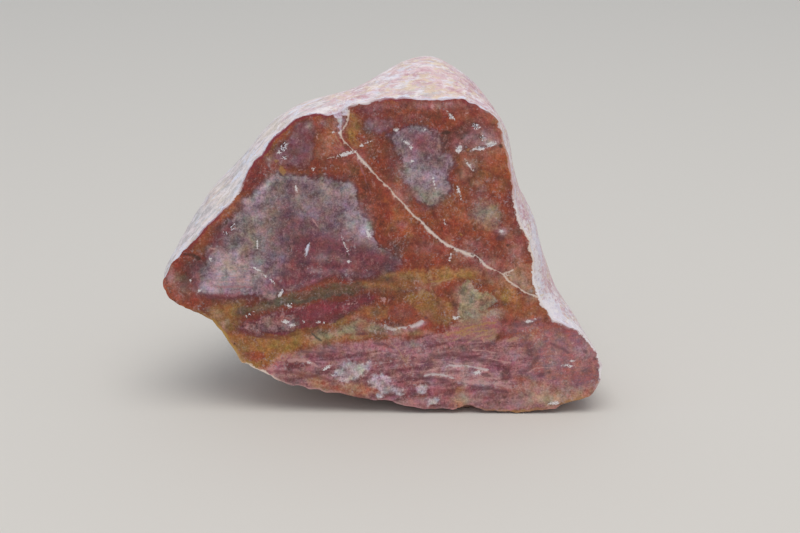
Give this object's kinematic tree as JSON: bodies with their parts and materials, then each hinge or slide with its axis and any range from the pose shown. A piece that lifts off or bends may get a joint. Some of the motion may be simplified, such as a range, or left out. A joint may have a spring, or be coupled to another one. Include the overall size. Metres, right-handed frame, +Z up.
{
  "type": "brecciated jasper stone",
  "caption": "Cobble of brecciated jasper sawn once: flat polished face showing broken patches and a pale vein, worn pale skin behind, rests on a flat underside.",
  "frame": {"origin": "centre of the bounding box in X and Y, on the surface that the stone rests on", "axes": "+X to the right across the sawn face, +Y from the sawn face to the back, +Z up"},
  "size_m": [0.1024, 0.06, 0.0785],
  "materials": {
    "jasper": "polished on the sawn face, matt and weathered elsewhere"
  },
  "bodies": {
    "root": {"jasper_stone": "jasper"}
  },
  "joints": []
}
